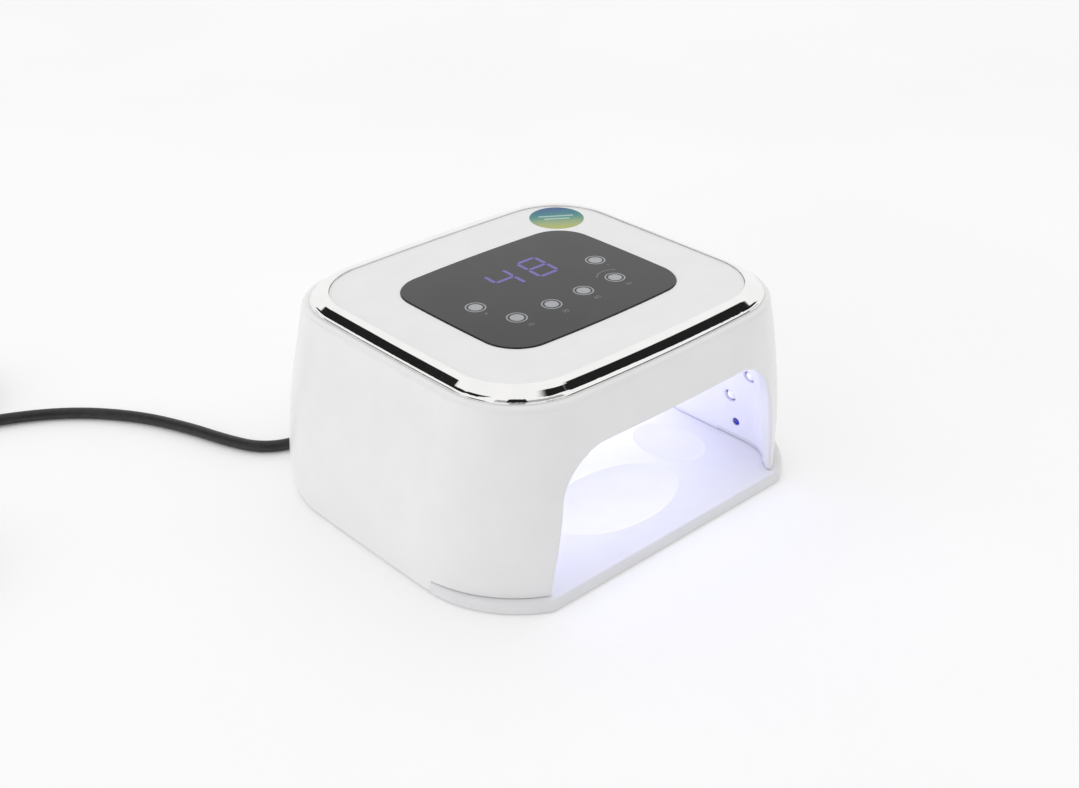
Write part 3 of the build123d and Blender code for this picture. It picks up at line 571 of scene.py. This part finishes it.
def paint_frame():
    """Every CAD node takes the finish of its own slot."""
    for part in frame["record"]["subparts"]:
        piece = nodes[part["node"]]
        for place in range(len(piece.data.materials)):
            piece.data.materials[place] = LOOKS[part["material_slot"]]


paint_frame()
paint(supply_cord, LOOKS["cord_pvc"])

# ---- marks on the panel ---------------------------------------------------------------------
panel_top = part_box("touch_panel")[1].z
THIN_PRINT = ((0.25, 0.35), 500.0, 0.000005)    # roughness, cells per metre and depth of grain
PALE_MARK = satin("key_mark_look", (0.34, 0.35, 0.37), (0.40, 0.41, 0.43), *THIN_PRINT)
DIM_MARK = satin("dim_mark_look", (0.17, 0.17, 0.18), (0.21, 0.21, 0.22), *THIN_PRINT)
DIGIT_LIGHT = glow("digit_look", (0.17, 0.13, 0.55), 0.42, (0.05, 0.03, 0.12), (0.07, 0.05, 0.16))


def build_keys(work):
    """A disc and a thin ring at each touch key."""
    for spot in KEY_SPOTS:
        add_prism(work, circle_points(spot, KEY_DISC_R), panel_top, panel_top + MARK_T)
        add_band(work, spot, *KEY_RING_R, panel_top, panel_top + MARK_T)


def build_small_marks(work):
    """A dot in front of each end key and an arc behind the fifth."""
    top = panel_top + MARK_T
    for x, y, radius in DOTS:
        add_prism(work, circle_points((x, y), radius, 20), panel_top, top)
    add_band(work, KEY_SPOTS[ARC_KEY], *ARC_R, panel_top, top, ARC_FROM, ARC_SPAN, 40)


def segment_points(centre, start, end):
    """The outline of one display segment, pointed at both ends and leaning with the digit."""
    a, b = Vector(start), Vector(end)
    along = (b - a).normalized()
    across = Vector((-along.y, along.x)) * STROKE / 2
    gap = along * SEGMENT_GAP
    nose = along * STROKE / 2
    a, b = a + gap, b - gap
    corners = (a, a + nose - across, b - nose - across, b, b - nose + across, a + nose + across)
    return [(centre[0] + p.x + DIGIT_SLANT * p.y, centre[1] + p.y) for p in corners]


def build_digits(work):
    """A lit 4 and a lit 8 made of display segments."""
    x, y = DIGIT_HALF
    bars = {
        "top": ((-x, y), (x, y)), "middle": ((-x, 0), (x, 0)), "bottom": ((-x, -y), (x, -y)),
        "left_top": ((-x, 0), (-x, y)), "right_top": ((x, 0), (x, y)),
        "left_bottom": ((-x, -y), (-x, 0)), "right_bottom": ((x, -y), (x, 0)),
    }
    lit = [("left_top", "middle", "right_top", "right_bottom"), tuple(bars)]
    for centre, names in zip(DIGIT_CENTRES, lit):
        for name in names:
            add_prism(work, segment_points(centre, *bars[name]), panel_top, panel_top + MARK_T)


def add_mark(name, mesh, material):
    """One piece printed on the touch panel, or shining through it."""
    piece = add_object(name, mesh)
    paint(piece, material)


def number_mesh(number, x, y):
    """A key's number as a thin solid, centred on a place on the panel."""
    text = bpy.data.curves.new("number", "FONT")
    text.body = number
    text.size = NUMBER_SIZE
    text.align_x = "CENTER"
    text.align_y = "CENTER"
    text.extrude = MARK_T / 2
    source = bpy.data.objects.new("number", text)
    COLLECTION.objects.link(source)
    source.location = (x, y, panel_top + MARK_T / 2)
    bpy.context.view_layer.update()
    mesh = bpy.data.meshes.new_from_object(source)
    mesh.transform(source.matrix_world)
    bpy.data.objects.remove(source)
    return mesh


def add_marks():
    """Everything printed on or shining through the touch panel."""
    for name, build, material in (
        ("key_marks", build_keys, PALE_MARK),
        ("key_dots_and_arc", build_small_marks, DIM_MARK),
        ("time_digits", build_digits, DIGIT_LIGHT),
    ):
        add_mark(name, mesh_from(name, build), material)
    for number, (x, y) in zip(KEY_NUMBERS, KEY_SPOTS[1:5]):
        mesh = number_mesh(number, x - NUMBER_SHIFT, y - NUMBER_DROP)
        add_mark(f"key_number_{number}", mesh, DIM_MARK)


def build_sticker_bars(work):
    """Two pale strokes across the sticker."""
    low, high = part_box("round_sticker")
    middle = (low + high) / 2
    across = Vector(STICKER_ACROSS)
    along = Vector((across.y, -across.x))
    for offset, half in STICKER_BARS:
        centre = Vector((middle.x, middle.y)) + across * offset
        outline = pill_points(centre - along * half, centre + along * half, BAR_R)
        add_prism(work, outline, high.z, high.z + BAR_T)


def add_sticker_bars():
    """Plain strokes where the sticker would carry its print."""
    piece = add_object("sticker_bars", mesh_from("sticker_bars", build_sticker_bars))
    paint(piece, satin("sticker_bar_look", (0.40, 0.55, 0.55), (0.46, 0.60, 0.60),
                       (0.2, 0.3), 500.0, 0.000005))


add_marks()
add_sticker_bars()


# ---- floor, world and lights ----------------------------------------------------------------
FLOOR_HALF = 6.0
FLOOR_DROP = 0.0001             # keeps the floor off the feet
FLOOR_GLOW = 0.10

# Dark cards round the lamp, which only reflections see: compass direction (0 is +Y, 90 is +X) and
# half width in degrees, then the lowest and highest sine of elevation.
CARDS = [
    (-37.0, 27.0, 0.22, 0.72),
    (-66.0, 16.0, 0.40, 0.90),
    (114.0, 14.0, 0.18, 0.66),
    (112.0, 20.0, 0.62, 0.84),
    (138.0, 26.0, 0.82, 0.95),
    (222.0, 13.0, -0.2, 0.90),
]
CARD_DEPTH = 0.985              # how much of the light a card takes away
CARD_BLUR = 0.02                # softness of a card's upper and lower edge, as a sine
CARD_SIDE_BLUR = 2.0            # softness of its sides, in degrees
# The studio is dimmer on the side of the open front: as for a card, then the softness of its edges.
NEAR_SHADE = (205.0, 45.0, -0.1, 0.6, 0.1)
NEAR_SHADE_DEPTH = 0.60
WORLD_LEVEL = 0.95

WHITE = (1.0, 1.0, 1.0)
PALE_VIOLET = (0.78, 0.80, 1.0)
VIOLET = (0.72, 0.72, 1.0)
# Soft boxes: name, place, the point it is aimed at, its two sides, power in watts and colour. The
# first fills from the left outside. The others stand for the lamp's own light.
LIGHTS = [
    ("left_fill", (-1.25, 0.25, 0.35), (0.0, 0.0, 0.05), (1.0, 0.8), 1.5, WHITE),
    ("chamber_front", (0.0, -0.076, 0.066), (0.0, 0.0, 0.0), (0.11, 0.012), 0.018, PALE_VIOLET),
    ("chamber_back", (0.0, -0.010, 0.050), (0.0, 0.068, 0.045), (0.12, 0.03), 0.056, VIOLET),
    ("chamber_side_1", (0.02, 0.02, 0.05), (0.085, 0.04, 0.05), (0.03, 0.08), 0.038, VIOLET),
    ("chamber_side_-1", (-0.02, 0.02, 0.05), (-0.085, 0.04, 0.05), (0.03, 0.08), 0.038, VIOLET),
]


def build_floor(work):
    """A large flat square."""
    bmesh.ops.create_grid(work, x_segments=8, y_segments=8, size=FLOOR_HALF)


def add_floor():
    """A plain pale table top."""
    floor = bpy.data.objects.new("floor", mesh_from("floor", build_floor))
    floor.location.z = -FLOOR_DROP
    COLLECTION.objects.link(floor)
    surface = Surface("floor_look").colour((0.93, 0.93, 0.93), (0.95, 0.95, 0.95), 3.0)
    surface.gloss(0.7, 0.8, 20.0)
    surface.set(Specular_IOR_Level=0.1, Emission_Color=(*WHITE, 1.0), Emission_Strength=FLOOR_GLOW)
    paint(floor, surface.material)


class Studio(Graph):
    """The world's node tree, in which a place is a direction seen from the lamp."""

    def __init__(self):
        world = bpy.data.worlds.new("studio")
        world.use_nodes = True
        bpy.context.scene.world = world
        super().__init__(world.node_tree)
        self.place = self.add("ShaderNodeTexCoord").outputs["Generated"]
        self.height = self.dot(self.place, (0.0, 0.0, 1.0))
        height_squared = self.math("MULTIPLY", self.height, self.height)
        self.level = self.math("SQRT", self.inverse(height_squared))

    def inverse(self, value):
        """1 less a value."""
        return self.math("SUBTRACT", 1.0, value)

    def step(self, value, low, high):
        """0 below a low limit and 1 above a high one, with a smooth rise between them."""
        return self.spread(value, 0.0, 1.0, low, high, "SMOOTHSTEP")

    def card(self, azimuth, half_width, low, high, blur=CARD_BLUR):
        """1 inside a card that faces the lamp from a compass direction, and 0 outside it."""
        heading = math.radians(azimuth)
        facing = self.dot(self.place, (math.sin(heading), math.cos(heading), 0.0))
        share = self.math("DIVIDE", facing, self.math("MAXIMUM", self.level, 0.001))
        inside = self.step(share, math.cos(math.radians(half_width + CARD_SIDE_BLUR)),
                           math.cos(math.radians(half_width)))
        above = self.step(self.height, low - blur, low + blur)
        below = self.inverse(self.step(self.height, high - blur, high + blur))
        return self.math("MULTIPLY", self.math("MULTIPLY", inside, above), below)


def add_world():
    """A white studio with dark cards that only reflections see, and a dimmer near side."""
    studio = Studio()
    rays = studio.add("ShaderNodeLightPath").outputs
    cards = studio.card(*CARDS[0])
    for spec in CARDS[1:]:
        cards = studio.math("MAXIMUM", cards, studio.card(*spec))
    cards = studio.math("MULTIPLY", cards, rays["Is Glossy Ray"])
    shade = studio.math("MULTIPLY", studio.card(*NEAR_SHADE), studio.inverse(rays["Is Camera Ray"]))
    dark = studio.math("MAXIMUM", studio.math("MULTIPLY", cards, CARD_DEPTH),
                       studio.math("MULTIPLY", shade, NEAR_SHADE_DEPTH))
    background = studio.add("ShaderNodeBackground")
    background.inputs["Color"].default_value = (*WHITE, 1.0)
    strength = studio.math("MULTIPLY", studio.inverse(dark), WORLD_LEVEL)
    studio.link(strength, background.inputs["Strength"])
    output = studio.add("ShaderNodeOutputWorld")
    studio.link(background.outputs["Background"], output.inputs["Surface"])


def add_lights():
    """The soft boxes, which neither the camera nor reflections see."""
    for name, spot, target, size, power, colour in LIGHTS:
        data = bpy.data.lights.new(name, "AREA")
        data.shape = "RECTANGLE"
        data.size, data.size_y = size
        data.energy = power
        data.color = colour
        lamp = bpy.data.objects.new(name, data)
        lamp.location = spot
        lamp.rotation_mode = "QUATERNION"
        lamp.rotation_quaternion = (Vector(target) - Vector(spot)).to_track_quat("-Z", "Y")
        lamp.visible_camera = False
        lamp.visible_glossy = False
        COLLECTION.objects.link(lamp)


add_floor()
add_world()
add_lights()

bpy.context.scene.view_settings.view_transform = "Standard"
